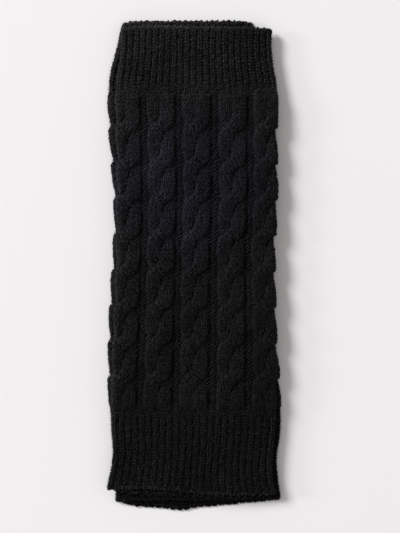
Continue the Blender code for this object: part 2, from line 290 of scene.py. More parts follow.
class LegWarmerKnit(bpy.types.PropertyGroup):
    """Sizes of the knit."""

    wale: FloatProperty(
        name="Wale", description="Width of one stitch", default=0.0027, min=0.001, unit="LENGTH")
    row: FloatProperty(
        name="Row", description="Height of one row of the leg", default=0.002857, min=0.001, unit="LENGTH")
    rib_row: FloatProperty(
        name="Rib row", description="Height of one row of a cuff", default=0.0024, min=0.001, unit="LENGTH")
    sink: FloatProperty(
        name="Sink", description="Depth of the wall under the stitches' tops", default=0.0013, unit="LENGTH")
    purl_length: FloatProperty(
        name="Purl bar", description="Length of one bar between the cables", default=0.0078, unit="LENGTH")
    purl_slant: FloatProperty(
        name="Purl slant", description="Lean of the bars", default=math.radians(43.0), subtype="ANGLE")
    edge_wave: FloatProperty(
        name="Edge wave", description="How far the edge stands out at a rib", default=0.0004, unit="LENGTH")
    unevenness: FloatProperty(
        name="Unevenness", description="How much the stitches differ in size", default=0.13, subtype="FACTOR")
    row_shift: FloatProperty(
        name="Row shift", description="How far two wales' rows sit apart", default=0.6, subtype="FACTOR")
    wander: FloatProperty(
        name="Wander", description="How far a stitch strays from its place", default=0.00018, unit="LENGTH")
    tilt: FloatProperty(
        name="Tilt", description="How far a stitch turns", default=math.radians(9.0), subtype="ANGLE")


class LegWarmerNap(bpy.types.PropertyGroup):
    """Sizes of the loose wool that stands off the knit."""

    length: FloatProperty(
        name="Length", description="Length of a loose fibre", default=0.0021, min=0.0005, unit="LENGTH")
    thickness: FloatProperty(
        name="Thickness", description="Thickness of a loose fibre", default=0.00011, unit="LENGTH")
    density: FloatProperty(
        name="Density", description="Loose fibres on a square metre of crest", default=660000.0, min=0.0)
    lint_length: FloatProperty(
        name="Lint length", description="Length of a speck", default=0.0014, min=0.0003, unit="LENGTH")
    lint_density: FloatProperty(
        name="Lint density", description="Specks on a square metre of crest", default=900.0, min=0.0)
    seed: IntProperty(name="Seed", description="Changes where the fibres stand", default=7)


class LegWarmerColours(bpy.types.PropertyGroup):
    """Colours of the wool and of the studio, as linear light."""

    # The first colour is the yarn's with no painted light on it, the second the palest painted light, and the
    # third the same in mid leg
    wool: FloatVectorProperty(
        name="Wool", description="Colour of the yarn, nap flat", subtype="COLOR", default=srgb("141514"))
    bloom: FloatVectorProperty(
        name="Bloom", description="Colour of the yarn, nap raised", subtype="COLOR", default=srgb("2c2a2d"))
    tinge: FloatVectorProperty(
        name="Tinge", description="The same in mid leg", subtype="COLOR", default=srgb("302b3a"))
    floor: FloatVectorProperty(
        name="Floor", description="Colour of the pale floor", subtype="COLOR", default=srgb("efeced"))


# Shape of the tubes

def smoothstep(low, high, value):
    """Rise from 0 at low to 1 at high, level at both ends."""
    share = np.clip((value - low) / (high - low), 0.0, 1.0)
    return share * share * (3.0 - 2.0 * share)


def read_rows(rows, key, column, value):
    """A smooth curve through one column of a table, at values of its key."""
    ordered = sorted(rows, key=lambda row: getattr(row, key))
    keys = np.array([getattr(row, key) for row in ordered])
    values = np.array([getattr(row, column) for row in ordered])
    places = np.arange(len(keys))
    before_each, after_each = np.maximum(places - 1, 0), np.minimum(places + 1, len(keys) - 1)
    slopes = (values[after_each] - values[before_each]) / (keys[after_each] - keys[before_each])
    value = np.clip(value, keys[0], keys[-1])
    start = np.clip(np.searchsorted(keys, value, side="right") - 1, 0, len(keys) - 2)
    span = keys[start + 1] - keys[start]
    t = (value - keys[start]) / span
    rise = t * t * (3.0 - 2.0 * t)
    bend = slopes[start] * t * (1.0 - t) ** 2 + slopes[start + 1] * t * t * (t - 1.0)
    return values[start] * (1.0 - rise) + values[start + 1] * rise + span * bend


def section(garment, y):
    """The section of a tube at places along it."""
    columns = ("left", "right", "under", "mouth")
    return Station(y, *(read_rows(garment.stations, "y", column, y) for column in columns))


def droop(garment, x, y):
    """How far the cloth sinks where nothing carries it from below."""
    if garment.covered:
        return 0.0
    overhang = np.maximum(x - section(LOWER, y).right + DROOP_START, 0.0)
    return overhang * overhang / (2.0 * DROOP_RADIUS)


def width_at(garment, y):
    """Width of the flattened tube."""
    cut = section(garment, y)
    return cut.right - cut.left


def fold_angle(garment, turn, y):
    """How far round the fold a place is: 0 on the front, pi on the underside."""
    width = width_at(garment, y)
    straight = width / 2.0 - FOLD_RADIUS
    return np.clip((np.abs(turn) * width - straight) / FOLD_RADIUS, 0.0, math.pi)


def wall_point(garment, turn, y, height):
    """Points at a height over the plain outer wall; negative heights are inside it."""
    turn, y, height = np.broadcast_arrays(turn, y, height)
    cut = section(garment, y)
    width = cut.right - cut.left
    straight = width / 2.0 - FOLD_RADIUS
    along = np.abs(turn) * width
    angle = fold_angle(garment, turn, y)
    across = np.minimum(along, straight) - np.maximum(along - straight - math.pi * FOLD_RADIUS, 0.0)
    reach = FOLD_RADIUS + height
    x = (cut.left + cut.right) / 2.0 + np.where(turn < 0.0, -1.0, 1.0) * (across + reach * np.sin(angle))
    spread = np.maximum(1.0 - (2.0 * across / width) ** 2, 0.0)
    stand = cut.mouth * spread * (1.0 + np.cos(angle)) / 2.0
    z = cut.under + FOLD_RADIUS + reach * np.cos(angle) + stand - droop(garment, x, y)
    return np.stack((x, y, z), axis=-1) + FOOTPRINT_SHIFT


def relief_share(garment, turn, y):
    """Cables and ribs fade out round the fold, towards the flat underside."""
    return smoothstep(RELIEF_ENDS, RELIEF_WHOLE, np.cos(fold_angle(garment, turn, y)))


def crease_depth(garment, x, y):
    """Depth of the soft troughs at points of the front."""
    depth = np.zeros(np.shape(x))
    for crease in garment.creases:
        run_x, run_y = crease.x_to - crease.x_from, crease.y_to - crease.y_from
        share = ((x - crease.x_from) * run_x + (y - crease.y_from) * run_y) / (run_x ** 2 + run_y ** 2)
        share = np.clip(share, 0.0, 1.0)
        away = np.hypot(x - crease.x_from - share * run_x, y - crease.y_from - share * run_y)
        depth = depth + crease.depth * (1.0 - smoothstep(0.0, crease.half_width, away))
    return depth


def cloth_point(garment, turn, y, height):
    """Points at a height over the outer wall, with its creases and its flat underside."""
    plain = wall_point(garment, turn, y, 0.0) - FOOTPRINT_SHIFT
    trough = crease_depth(garment, plain[..., 0], plain[..., 1])
    return wall_point(garment, turn, y, (height - trough) * relief_share(garment, turn, y))


def from_join(height, fade, y):
    """A height that grows from the common one where leg and cuff meet."""
    share = smoothstep(0.0, fade, np.minimum(np.abs(y - LEG_LOW), np.abs(y - LEG_HIGH)))
    return JOIN_HEIGHT + (height - JOIN_HEIGHT) * share


def strand_path(side, y, first_crossing):
    """Sideways place and slope of a strand, and its rise where it is the front one."""
    crossing = np.clip((y - first_crossing) / CROSSING_PITCH, -0.5, CROSSINGS - 0.5)
    swing = CROSSING_SHARPNESS * np.sin(math.pi * crossing)
    centre = STRAND_REACH * np.tanh(swing) / math.tanh(CROSSING_SHARPNESS)
    steepness = STRAND_REACH * math.pi / CROSSING_PITCH * CROSSING_SHARPNESS / math.tanh(CROSSING_SHARPNESS)
    slope = steepness * np.cos(math.pi * crossing) / np.cosh(swing) ** 2
    rise = CROSSING_RISE * np.cos(math.pi * crossing)
    return side * centre, side * slope, side * rise


def strand_height(side, across, y, first_crossing):
    """Height of one rounded strand over the purl ground, pulled down where it runs behind."""
    centre, slope, rise = strand_path(side, y, first_crossing)
    distance = (across - centre) / (STRAND_HALF_WIDTH * np.hypot(1.0, slope))
    dome = STRAND_HEIGHT * np.sqrt(np.clip(1.0 - distance ** 2, 0.0, 1.0)) + rise
    dome = dome + CROSSING_TUCK * np.minimum(rise / CROSSING_RISE, 0.0)
    return np.where(np.abs(distance) < 1.0, np.maximum(dome, 0.0), 0.0)


def cable_height(garment, turn, y):
    """Height of the nearest cable over the purl ground."""
    nearest = np.argmin([np.abs(turn - cable.turn) for cable in CABLES], axis=0)
    cable_turn, first_crossing = np.array(CABLES)[nearest].T
    across = (turn - cable_turn) * width_at(garment, y)
    return np.maximum(*(strand_height(side, across, y, first_crossing) for side in (1, -1)))


def rib_wave(turn):
    """The ribs' section: 0 in a furrow, 1 on a rib."""
    return np.interp(np.mod(turn / RIB_TURN, 1.0), RIB_SHOULDERS, RIB_PROFILE)


def hem_across(garment, hem, turn):
    """Where turns of a hem's edge lie across the tube, in half widths."""
    y = np.full(np.shape(turn), hem[0].front)
    x = (wall_point(garment, turn, y, 0.0) - FOOTPRINT_SHIFT)[..., 0]
    cut = section(garment, y)
    return (2.0 * x - cut.left - cut.right) / (cut.right - cut.left)


def hem_reach(garment, hem, turn):
    """How far a cuff reaches along the leg at turns of its edge."""
    across = hem_across(garment, hem, turn)
    front = read_rows(hem, "across", "front", across)
    back = read_rows(hem, "across", "back", across)
    return np.where(np.abs(turn) < 0.5, front, back)


def stretches(garment):
    """The three stretches of a tube."""
    return (
        Stretch(garment.name + "_top_cuff", "rib_knit", LEG_HIGH, garment.top_hem, 1),
        Stretch(garment.name + "_cable_leg", "cable_knit", LEG_LOW, None, 1),
        Stretch(garment.name + "_bottom_cuff", "rib_knit", LEG_LOW, garment.bottom_hem, -1),
    )


def end_of(garment, stretch, turn):
    """Where a stretch ends at turns: at its hem, or where the leg meets the top cuff."""
    if stretch.hem is None:
        return np.full(np.shape(turn), LEG_HIGH)
    return hem_reach(garment, stretch.hem, turn)


def shown(garment, places):
    """True where nothing lies on the cloth, or only its last stretch under an edge."""
    if not garment.covered:
        return np.ones(places.shape[:-1], bool)
    table = places - FOOTPRINT_SHIFT
    cut = section(UPPER, table[..., 1])
    sides = (table[..., 0] < cut.left + COVER_DEPTH) | (table[..., 0] > cut.right - COVER_DEPTH)
    top = table[..., 1] > UPPER_TOP_HEM[0].front - COVER_DEPTH
    bottom = table[..., 1] < UPPER_BOTTOM_HEM[0].front + COVER_DEPTH
    return sides | top | bottom


# Meshes and node trees

def add_node(tree, kind, inputs=None, **settings):
    """Add one node with its settings. Each input is linked to a socket or node, or set."""
    node = tree.nodes.new(kind)
    for name, value in settings.items():
        setattr(node, name, value)
    for name, given in (inputs or {}).items():
        if isinstance(given, bpy.types.Node):
            given = given.outputs[0]
        if isinstance(given, bpy.types.NodeSocket):
            tree.links.new(given, node.inputs[name])
        else:
            node.inputs[name].default_value = given
    return node


def link_object(name, mesh):
    """A new object in the scene, at the origin."""
    piece = bpy.data.objects.new(name, mesh)
    bpy.context.scene.collection.objects.link(piece)
    return piece


def spindle(work, path, radii, sides, flatness):
    """A closed arm of yarn along a path that starts and ends in a point."""
    rings = []
    for place, radius in zip(path[1:-1], radii):
        ring = []
        for k in range(sides):
            angle = 2.0 * math.pi * (k + 0.5) / sides
            offset = Vector((math.cos(angle), 0.0, math.sin(angle) * flatness)) * radius
            ring.append(work.verts.new(Vector(place) + offset))
        rings.append(ring)
    first, last = work.verts.new(path[0]), work.verts.new(path[-1])
    for k in range(sides):
        after = (k + 1) % sides
        work.faces.new((first, rings[0][k], rings[0][after]))
        for low, high in zip(rings, rings[1:]):
            work.faces.new((low[k], high[k], high[after], low[after]))
        work.faces.new((last, rings[-1][after], rings[-1][k]))


def template(name, arms, sides, flatness=0.9, turned=None):
    """A helper object of yarn arms, each a path and its radii, turned once it is made."""
    work = bmesh.new()
    for path, radii in arms:
        spindle(work, path, radii, sides, flatness)
    if turned is not None:
        work.transform(turned)
    bmesh.ops.recalc_face_normals(work, faces=work.faces)
    mesh = bpy.data.meshes.new(name)
    work.to_mesh(mesh)
    work.free()
    mesh.shade_smooth()
    return link_object(name, mesh)


def knit_stitch(name, wale, row, fullness):
    """One knit stitch: two arms that lean apart, tucked under the next stitch."""
    path = (
        (0.06, -0.80, -0.61),
        (0.13, -0.42, -0.30),
        (0.22, 0.02, -0.18),
        (0.31, 0.42, -0.31),
        (0.32, 0.78, -0.63),
    )
    radii = [radius * wale * fullness for radius in (0.19, 0.225, 0.19)]
    arms = [([(side * x * wale, y * row, z * wale) for x, y, z in path], radii) for side in (-1.0, 1.0)]
    return template(name, arms, 4)


def purl_bar(length, slant, thickness):
    """One purl bar: a short leaning arc of yarn."""
    path = (
        (-0.52, -0.02, -0.9),
        (-0.3, 0.02, -0.45),
        (0.0, 0.05, -0.30),
        (0.3, 0.02, -0.45),
        (0.52, -0.02, -0.9),
    )
    arm = [(z * thickness, x * length, y * length) for x, y, z in path]
    radii = [radius * thickness for radius in (0.42, 0.5, 0.42)]
    c, s = math.cos(slant), math.sin(slant)
    turned = Matrix(((0.0, c, -s, 0.0), (0.0, s, c, 0.0), (1.0, 0.0, 0.0, 0.0), (0.0, 0.0, 0.0, 1.0)))
    return template("purl_bar", [(arm, radii)], 5, 1.0, turned)


def loose_fibre(length, thickness):
    """One loose fibre: it stands on the cloth and bends over."""
    path = [(0.0, 0.0, 0.0), (0.16, 0.03, 0.58), (0.72, 0.0, 0.84)]
    arm = [tuple(part * length for part in place) for place in path]
    return template("loose_fibre", [(arm, [thickness / 2.0])], 3, 1.0)


def geometry_tree(name, inputs):
    """A tree with a geometry in and out, its named inputs, a seed and a material."""
    tree = bpy.data.node_groups.new(name, "GeometryNodeTree")
    tree.interface.new_socket("Geometry", in_out="OUTPUT", socket_type="NodeSocketGeometry")
    for label, kind in {"Geometry": "Geometry", **inputs, "Seed": "Int", "Material": "Material"}.items():
        tree.interface.new_socket(label, in_out="INPUT", socket_type="NodeSocket" + kind)
    add = partial(add_node, tree)
    return tree, add, add("NodeGroupInput").outputs


def finish_tree(add, material, placing):
    """Ends a tree: its instances become plain mesh, with their material."""
    placed = add("GeometryNodeInstanceOnPoints", placing)
    real = add("GeometryNodeRealizeInstances", {"Geometry": placed})
    painted = add("GeometryNodeSetMaterial", {"Geometry": real, "Material": material})
    add("NodeGroupOutput", {"Geometry": painted})


def stitch_tree():
    """Stitches on planned points: turned along the wale and outwards, uneven in size."""
    tree, add, given = geometry_tree(
        "yarn_stitches", {"Stitch": "Object", "Unevenness": "Float", "Wander": "Float", "Tilt": "Float"})
    stitch = add("GeometryNodeObjectInfo", {"Object": given["Stitch"]})
    along, outward, size = (
        add("GeometryNodeInputNamedAttribute", {"Name": label}, data_type="FLOAT_VECTOR")
        for label in PLANNED)
    turned = add(
        "FunctionNodeAxesToRotation", {"Primary Axis": outward, "Secondary Axis": along},
        primary_axis="Z", secondary_axis="Y")
    strays = []
    for place, label in enumerate(("Unevenness", "Wander", "Tilt")):
        seed = add("ShaderNodeMath", {0: given["Seed"], 1: float(place)})
        limits = {0: (-1.0, -1.0, -1.0), 1: (1.0, 1.0, 1.0)}
        even = add("FunctionNodeRandomValue", {**limits, "Seed": seed}, data_type="FLOAT_VECTOR")
        strays.append(add("ShaderNodeVectorMath", {0: even, "Scale": given[label]}, operation="SCALE"))
    uneven, wander, tilt = strays
    scale = add("ShaderNodeVectorMath", {0: size, 1: uneven, 2: size}, operation="MULTIPLY_ADD")
    moved = add("GeometryNodeSetPosition", {"Geometry": given["Geometry"], "Offset": wander})
    tilt = add("FunctionNodeEulerToRotation", {0: tilt})
    tilted = add("FunctionNodeRotateRotation", {0: turned, 1: tilt}, rotation_space="LOCAL")
    shape = stitch.outputs["Geometry"]
    placing = {"Points": moved, "Instance": shape, "Rotation": tilted, "Scale": scale}
    finish_tree(add, given["Material"], placing)
    return tree


def nap_tree():
    """Loose fibres strewn over a knitted wall, where its nap attribute lets them stand."""
    tree, add, given = geometry_tree("wool_nap", {"Fibre": "Object", "Density": "Float"})
    cloth, seed = given["Geometry"], given["Seed"]
    fibre = add("GeometryNodeObjectInfo", {"Object": given["Fibre"]})
    nap = add("GeometryNodeInputNamedAttribute", {"Name": "nap"}, data_type="FLOAT")
    density = add("ShaderNodeMath", {0: nap, 1: given["Density"]}, operation="MULTIPLY")
    strewn = add(
        "GeometryNodeDistributePointsOnFaces", {"Mesh": cloth, "Density": density, "Seed": seed},
        distribute_method="RANDOM")
    # Each leans up to 29 degrees back or 52 forward, any way round, and has its own length
    limits = {0: (0.0, -0.5, -math.pi), 1: (0.0, 0.9, math.pi)}
    lean = add("FunctionNodeRandomValue", {**limits, "Seed": seed}, data_type="FLOAT_VECTOR")
    lean = add("FunctionNodeEulerToRotation", {0: lean})
    turned = add(
        "FunctionNodeRotateRotation", {0: strewn.outputs["Rotation"], 1: lean}, rotation_space="LOCAL")
    size = add("FunctionNodeRandomValue", {2: 0.45, 3: 1.25, "Seed": seed}, data_type="FLOAT")
    shape, scale = fibre.outputs["Geometry"], size.outputs[1]
    placing = {"Points": strewn, "Instance": shape, "Rotation": turned, "Scale": scale}
    finish_tree(add, given["Material"], placing)
    return tree


def grown(name, carrier, tree, values, material):
    """The plain mesh that a tree grows on a carrier mesh, as a new piece."""
    piece = link_object(name, carrier)
    modifier = piece.modifiers.new(tree.name, "NODES")
    modifier.node_group = tree
    sockets = {item.name: item.identifier for item in tree.interface.items_tree if item.in_out == "INPUT"}
    for label, value in {**values, "Material": material}.items():
        modifier[sockets[label]] = value
    bpy.context.view_layer.update()
    evaluated = piece.evaluated_get(bpy.context.evaluated_depsgraph_get())
    mesh = bpy.data.meshes.new_from_object(evaluated)
    piece.modifiers.remove(modifier)
    piece.data = mesh
    mesh.name = name
    places = np.empty(len(mesh.vertices) * 3, np.float32)
    mesh.vertices.foreach_get("co", places)
    places[2::3] = np.maximum(places[2::3], REST_HEIGHT)
    mesh.vertices.foreach_set("co", places)
    for spare in [attribute for attribute in mesh.attributes if attribute.name in PLANNED]:
        mesh.attributes.remove(spare)
    mesh.shade_smooth()
    return piece


def planned_points(name, plan):
    """A mesh of points that carries each stitch's directions and size."""
    places, *directions = (np.concatenate(part) for part in zip(*plan))
    mesh = bpy.data.meshes.new(name + "_plan")
    mesh.vertices.add(len(places))
    mesh.vertices.foreach_set("co", places.astype(np.float32).ravel())
    for label, values in zip(PLANNED, directions):
        attribute = mesh.attributes.new(label, "FLOAT_VECTOR", "POINT")
        attribute.data.foreach_set("vector", values.astype(np.float32).ravel())
    return mesh


def unit(vectors):
    """Vectors of length one."""
    return vectors / np.maximum(np.linalg.norm(vectors, axis=-1, keepdims=True), 1e-12)


def lie_on(surface, across, y, size, keep, facing=1.0):
    """Where stitches lie on a surface of (across, y), which way they run and face."""
    places = surface(across, y)
    along = surface(across, y + STEP) - surface(across, y - STEP)
    sideways = surface(across + STEP, y) - surface(across - STEP, y)
    outward = np.cross(sideways, along) * facing
    size = np.broadcast_to(size, places.shape)
    return places[keep], unit(along)[keep], unit(outward)[keep], size[keep]


def grid_wall(name, outer, inner, rims, circumference):
    """A closed wall: rings up the outer face, over a rim, down the inner face, over a rim."""
    rings = outer + [rims[1]] + inner[::-1] + [rims[0]]
    columns = len(outer[0][0])
    points, nap, turns = (np.concatenate(part) for part in zip(*rings))
    faces = []
    for ring in range(len(rings)):
        low, high = ring * columns, ((ring + 1) % len(rings)) * columns
        for column in range(columns):
            after = (column + 1) % columns
            faces.append((low + column, low + after, high + after, high + column))
    mesh = bpy.data.meshes.new(name)
    mesh.from_pydata(points, [], faces)
    mesh.attributes.new("nap", "FLOAT", "POINT").data.foreach_set("value", nap.astype(np.float32))
    # Its chart, in metres: across round the tube, and up the leg
    chart = mesh.uv_layers.new(name="knit_chart")
    loop_verts = np.empty(len(mesh.loops), np.int32)
    mesh.loops.foreach_get("vertex_index", loop_verts)
    across = turns[loop_verts] * circumference / WHOLE_TURN
    past_seam = (np.arange(len(loop_verts)) // 4) % columns == columns - 1
    across = np.where(past_seam & (loop_verts % columns == 0), across + circumference, across)
    chart_points = np.stack((across, points[loop_verts, 1]), axis=-1)
    chart.data.foreach_set("uv", chart_points.astype(np.float32).ravel())
    mesh.shade_smooth()
    return link_object(name, mesh)


# Materials

def new_material(name, settings):
    """A new material, its shader with constant settings, and what adds nodes to its tree."""
    material = bpy.data.materials.new(name)
    material.use_nodes = True
    shader = material.node_tree.nodes["Principled BSDF"]
    for socket, value in settings.items():
        shader.inputs[socket].default_value = value
    return material, shader, partial(add_node, material.node_tree)


def wool_material(name, shade, knit_chart=False):
    """Brushed wool-blend yarn, spun and dyed black: matt and soft-edged, with painted light in a faint cool
    tone.

    Its fibres scatter light at every angle, so it has next to no highlight. Painted light: its colour is
    painted paler where a face turns towards the upper left, and towards that end of the cloth.
    """
    material, shader, add = new_material(
        name, {"Roughness": 0.95, "Specular IOR Level": 0.05, "Sheen Weight": 0.12, "Sheen Roughness": 0.28})
    colours = bpy.context.scene.leg_warmer_colours
    yarn, bloom, tinge = ((*colour, 1.0) for colour in (colours.wool, colours.bloom, colours.tinge))
    coordinates = add("ShaderNodeTexCoord").outputs
    place = coordinates["Object"]
    # Painted light: faces turned towards the upper left, where the lamps stand, are painted paler,
    # and so is the cloth towards that end
    ahead, facing = (
        add("ShaderNodeVectorMath", {0: where, 1: growth}, operation="DOT_PRODUCT").outputs["Value"]
        for where, growth in ((place, BLOOM_ALONG), (coordinates["Normal"], BLOOM_FACING)))
    both = add("ShaderNodeMath", {0: ahead, 1: facing})
    raised = add("ShaderNodeMath", {0: both, 1: BLOOM_MEAN})
    # The palest painted light is faintly violet in the upper middle of the leg
    away = add("ShaderNodeVectorMath", {0: place, 1: TINGE_AT}, operation="DISTANCE").outputs["Value"]
    limits = {"From Min": TINGE_WHOLE, "From Max": TINGE_ENDS, "To Min": 1.0, "To Max": 0.0}
    near = add("ShaderNodeMapRange", {"Value": away, **limits}, interpolation_type="SMOOTHSTEP")
    tips = add("ShaderNodeMix", {"Factor": near, "A": bloom, "B": tinge}, data_type="RGBA").outputs["Result"]
    tone = add("ShaderNodeMix", {"Factor": raised, "A": yarn, "B": tips}, data_type="RGBA").outputs["Result"]
    # Tufts of fibre about 1.6 mm across, and soft patches 30 mm across
    tufts = add("ShaderNodeTexNoise", {"Vector": place, "Scale": 620.0, "Detail": 3.0, "Roughness": 0.65})
    patches = add("ShaderNodeTexNoise", {"Vector": place, "Scale": 33.0, "Detail": 2.0})
    blend = add("ShaderNodeMath", {0: patches, 1: PATCH_SHARE, 2: tufts}, operation="MULTIPLY_ADD")
    darkest, lightest = (share * shade for share in TUFT_SHADES)
    limits = {"From Min": 0.49, "From Max": 0.77, "To Min": darkest, "To Max": lightest}
    spread = add("ShaderNodeMapRange", {"Value": blend, **limits})
    colour = add("ShaderNodeVectorMath", {0: tone, "Scale": spread}, operation="SCALE")
    material.node_tree.links.new(colour.outputs[0], shader.inputs["Base Color"])
    # Single fibres, drawn 0.3 mm apart, coarser than real ones so that they show
    fibres = add("ShaderNodeTexNoise", {"Vector": place, "Scale": 3200.0, "Detail": 2.0})
    bump = add("ShaderNodeBump", {"Strength": 0.9, "Distance": 0.0003, "Height": fibres})
    if knit_chart:
        bump = stitch_bump(add, bump)
    material.node_tree.links.new(bump.outputs["Normal"], shader.inputs["Normal"])
    return material


def stitch_bump(add, finer):
    """Rows of V stitches in the bump of a plain wall."""
    knit = bpy.context.scene.leg_warmer_knit
    chart = add("ShaderNodeUVMap", uv_map="knit_chart")
    place = add("ShaderNodeSeparateXYZ", {"Vector": chart}).outputs
    wale = add("ShaderNodeMath", {0: place["X"], 1: knit.wale}, operation="DIVIDE")
    beside = add("ShaderNodeMath", {0: wale, 1: 0.5}, operation="PINGPONG")
    row = add("ShaderNodeMath", {0: place["Y"], 1: knit.row}, operation="DIVIDE")
    lean = add("ShaderNodeMath", {0: row, 1: beside}, operation="SUBTRACT")
    tuck = add("ShaderNodeMath", {0: lean, 1: 0.5}, operation="PINGPONG")
    arm = add("ShaderNodeMath", {0: beside, 1: 0.25}, operation="PINGPONG")
    height = add("ShaderNodeMath", {0: tuck, 1: arm}, operation="MULTIPLY")
    return add("ShaderNodeBump", {"Strength": 1.0, "Distance": 0.004, "Height": height, "Normal": finer})


def paper_material(name, colour):
    """Matt seamless studio paper: an even pale sheet with a faint tooth."""
    material, shader, add = new_material(
        name, {"Roughness": 0.9, "Specular IOR Level": 0.2, "Base Color": (*colour, 1.0)})
    place = add("ShaderNodeTexCoord").outputs["Object"]
    tooth = add("ShaderNodeTexNoise", {"Vector": place, "Scale": 1800.0})
    bump = add("ShaderNodeBump", {"Strength": 0.05, "Distance": 0.0001, "Height": tooth})
    material.node_tree.links.new(bump.outputs["Normal"], shader.inputs["Normal"])
    return material


MADE = {}      # materials, trees and helpers that several pieces share
WALLS = {}     # the wall of each stretch, with its flat size
LAID = {}      # the pieces that lie on each wall


def made_once(name, maker, *given):
    """A material, tree or helper that several pieces share."""
    if name not in MADE:
        MADE[name] = maker(*given)
    return MADE[name]


def wool(name):
    """One of the wools: the same yarn, painted darker as painted shade where it lies under the stitches,
    inside a tube or in a shadow, and paler as painted highlight where it is loose or on an edge.
    """
    return made_once(name, wool_material, name, WOOL_SHADES[name], name == "black_wool_wall")


# Pieces

def knitted_wall(garment, stretch, knit):
    """The closed wall of one stretch, with the soft form of its cables or ribs."""
    front = np.linspace(-FRONT_TURN, FRONT_TURN, FRONT_COLUMNS[garment.covered], endpoint=False)
    back = np.linspace(FRONT_TURN, WHOLE_TURN - FRONT_TURN, BACK_COLUMNS, endpoint=False)
    turns = np.concatenate((front, back))
    on_front = np.abs(turns) < FRONT_TURN
    ends = end_of(garment, stretch, turns)
    is_leg = stretch.hem is None
    if is_leg:
        fade, sink, rings, inner_rings = CABLE_FADE, knit.sink, LEG_RINGS[garment.covered], INNER_LEG_RINGS
    else:
        fade, sink, rings, inner_rings = RIB_FADE, knit.sink * CUFF_SINK, CUFF_RINGS, INNER_CUFF_RINGS
        ends = ends - stretch.way * EDGE_TUCK

    def ring(share, plain_height=None):
        y = stretch.start + (ends - stretch.start) * share
        if plain_height is not None:
            return wall_point(garment, turns, y, plain_height), np.zeros(len(turns)), turns
        if is_leg:
            raised = cable_height(garment, turns, y)
            crest = GROUND_NAP + (1.0 - GROUND_NAP) * smoothstep(0.0, STRAND_HEIGHT, raised)
        else:
            raised, crest = RIB_HEIGHT * rib_wave(turns), CUFF_NAP
        points = cloth_point(garment, turns, y, from_join(raised, fade, y) - sink)
        turned = np.sin(fold_angle(garment, turns, y))
        return points, on_front * (crest + FOLD_NAP * turned) * shown(garment, points), turns

    # Both faces and both rims, from the lower end of the stretch to the upper one
    shares, inner_shares = (
        np.linspace(0.0, 1.0, count + 1)[::stretch.way] for count in (rings, inner_rings))
    outer = [ring(share) for share in shares]
    inner = [ring(share, -WALL) for share in inner_shares]
    rims = [ring(share, -WALL / 2.0) for share in (shares[0], shares[-1])]
    around = 2.0 * float(np.mean(width_at(garment, np.array([stretch.start, float(ends[0])]))))
    wall = grid_wall(stretch.name + "_knit", outer, inner, rims, around)
    # The wall's yarn is painted dark, as painted shade in the gaps between the stitches
    wall.data.materials.append(wool("black_wool_wall"))
    return wall, around, abs(float(np.mean(ends)) - stretch.start)


def strand_stitches(garment, knit):
    """Knit stitches on every strand, its wales evenly spaced over the strand's round face."""
    # The last row may pass the leg's end by a third of a row
    even_rows = np.arange(LEG_LOW, LEG_HIGH + knit.row * 0.3, knit.row)
    chance = np.random.default_rng(int(garment.covered))
    samples = np.linspace(-DRESSED_SHARE, DRESSED_SHARE, SAMPLES) * STRAND_HALF_WIDTH
    plan = []
    for cable in CABLES:
        wales = WALES_ROUND_FOLD if abs(cable.turn) > FOLD_CABLE else WALES_IN_STRAND
        for side in (-1, 1):

            def surface(across, y):
                centre, slope, _ = strand_path(side, y, cable.first_crossing)
                aside = centre + across * np.hypot(1.0, slope)
                dome = strand_height(side, aside, y, cable.first_crossing)
                turn = cable.turn + aside / width_at(garment, y)
                return cloth_point(garment, turn, y, from_join(dome, CABLE_FADE, y))

            lines = surface(samples[np.newaxis, :], even_rows[:, np.newaxis])
            steps = np.linalg.norm(np.diff(lines, axis=1), axis=-1)
            runs = np.concatenate((np.zeros((len(even_rows), 1)), np.cumsum(steps, axis=1)), axis=1)
            for wale in range(wales):
                share = (wale + 0.5) / wales
                across = np.array([np.interp(share * run[-1], run, samples) for run in runs])
                rows = even_rows + knit.row * knit.row_shift * (chance.random() - 0.5)
                centre, slope, _ = strand_path(side, rows, cable.first_crossing)
                slant = np.hypot(1.0, slope)
                own, other = (
                    strand_height(which, centre + across * slant, rows, cable.first_crossing)
                    for which in (side, -side))
                keep = (own > other + VALLEY) & shown(garment, surface(across, rows))
                low, high = knit.row * JOIN_RAGGED * chance.random(2)
                keep = keep & (rows > LEG_LOW + low) & (rows < LEG_HIGH - high)
                width = runs[:, -1] / (wales * knit.wale)
                size = np.stack((width, slant, np.ones(rows.shape)), axis=-1)
                plan.append(lie_on(surface, across, rows, size, keep))
    return plan


def relief_surface(garment, turn, height):
    """The cloth round a turn, as a surface of (across, y), at a height that depends on y."""
    def surface(across, y):
        return cloth_point(garment, turn + across / width_at(garment, y), y, height(y))

    return surface


def ground_height(y):
    """Height of the purl bars' tops along the leg."""
    return from_join(-GROUND_DEPTH, CABLE_FADE, y)


def ground_bars(garment, knit):
    """Purl bars between the cables, left out where a cable's flank covers them."""
    rows = np.arange(LEG_LOW + knit.row / 2.0, LEG_HIGH, knit.row)
    plan = []
    for left, right in zip(CABLES, CABLES[1:]):
        middle = (left.turn + right.turn) / 2.0
        surface = relief_surface(garment, middle, ground_height)
        for beside in PURL_PLACES:
            across = np.full(rows.shape, beside)
            clear = cable_height(garment, middle + across / width_at(garment, rows), rows) < PURL_CLEAR
            keep = clear & shown(garment, surface(across, rows))
            plan.append(lie_on(surface, across, rows, (1.0, 1.0, 1.0), keep))
    return plan


